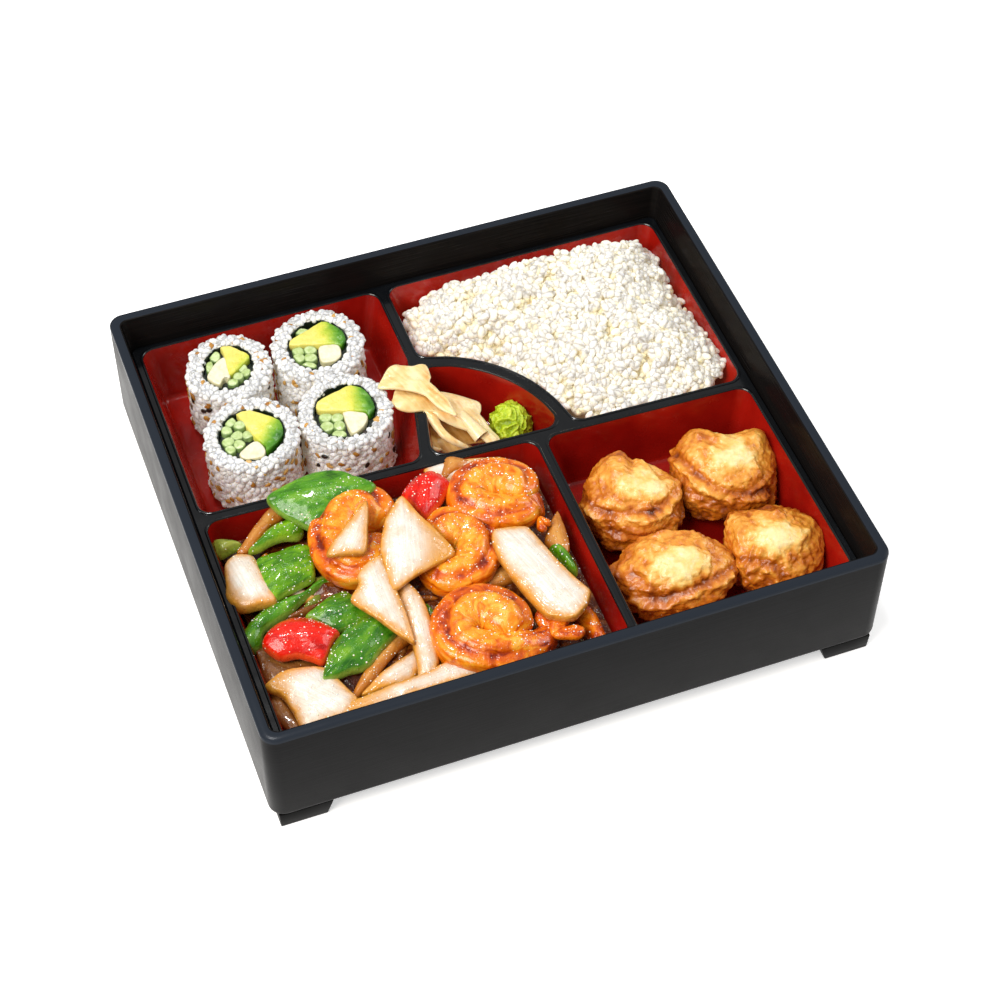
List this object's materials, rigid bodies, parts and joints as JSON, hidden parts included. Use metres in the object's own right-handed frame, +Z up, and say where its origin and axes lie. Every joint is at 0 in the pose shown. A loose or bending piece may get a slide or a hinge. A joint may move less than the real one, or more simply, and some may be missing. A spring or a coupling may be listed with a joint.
{
  "type": "filled bento box",
  "caption": "Open lacquered bento box with a drop-in compartment tray, filled with sushi rolls, rice, pickled ginger, wasabi, fried dumplings and shrimp stir-fry.",
  "frame": {"origin": "on the ground under the middle of the box", "axes": "+Z up out of the open top, +X along the long side, the stir-fry and dumpling compartments at the front (-Y)"},
  "size_m": [0.2712, 0.2444, 0.0625],
  "materials": {
    "lacquer": "near-black lacquered plastic, satin sides and a glossy rim",
    "tray_red": "glossy deep red cups with black tops to the dividers",
    "rice": "steamed short-grain rice, moist white",
    "seaweed": "dark green-black seaweed sheet",
    "avocado": "ripe avocado flesh, yellow at the middle and green at the skin",
    "white_stick": "cream-white crisp stick",
    "cucumber": "pale green cucumber with a darker skin",
    "ginger": "thin pale-yellow pickled slices, moist",
    "wasabi": "bright green paste, craggy",
    "fried_dough": "blistered golden-brown fried dough, pale on top",
    "shrimp": "glazed orange shrimp",
    "onion": "translucent cream onion with golden glazed edges",
    "green_vegetable": "glazed bright green pepper and snow pea",
    "red_pepper": "glazed bright red pepper",
    "sauce": "brown glossy sauce over the bits at the bottom"
  },
  "bodies": {
    "root": {"box": "lacquer", "tray": "tray_red", "roll_1_rice": "rice", "roll_1_nori": "seaweed", "roll_1_avocado": "avocado", "roll_1_white_stick": "white_stick", "roll_1_cucumber": "cucumber", "roll_2_rice": "rice", "roll_2_nori": "seaweed", "roll_2_avocado": "avocado", "roll_2_white_stick": "white_stick", "roll_2_cucumber": "cucumber", "roll_3_rice": "rice", "roll_3_nori": "seaweed", "roll_3_avocado": "avocado", "roll_3_white_stick": "white_stick", "roll_3_cucumber": "cucumber", "roll_4_rice": "rice", "roll_4_nori": "seaweed", "roll_4_avocado": "avocado", "roll_4_white_stick": "white_stick", "roll_4_cucumber": "cucumber", "rice": "rice", "ginger": "ginger", "wasabi": "wasabi", "dumpling_1": "fried_dough", "dumpling_2": "fried_dough", "dumpling_3": "fried_dough", "dumpling_4": "fried_dough", "shrimp_1": "shrimp", "shrimp_2": "shrimp", "shrimp_3": "shrimp", "shrimp_4": "shrimp", "shrimp_tail": "shrimp", "onion_1": "onion", "onion_2": "onion", "onion_3": "onion", "onion_4": "onion", "onion_5": "onion", "onion_7": "onion", "onion_8": "onion", "onion_9": "onion", "onion_10": "onion", "onion_11": "onion", "onion_12": "onion", "onion_13": "onion", "onion_14": "onion", "onion_15": "onion", "onion_16": "onion", "pepper_green_2": "green_vegetable", "pepper_green_3": "green_vegetable", "pepper_green_4": "green_vegetable", "pepper_green_6": "green_vegetable", "pepper_green_7": "green_vegetable", "pepper_green_8": "green_vegetable", "snow_pea_1": "green_vegetable", "snow_pea_2": "green_vegetable", "pepper_red_1": "red_pepper", "pepper_red_2": "red_pepper", "sauce_bed": "sauce"}
  },
  "joints": []
}
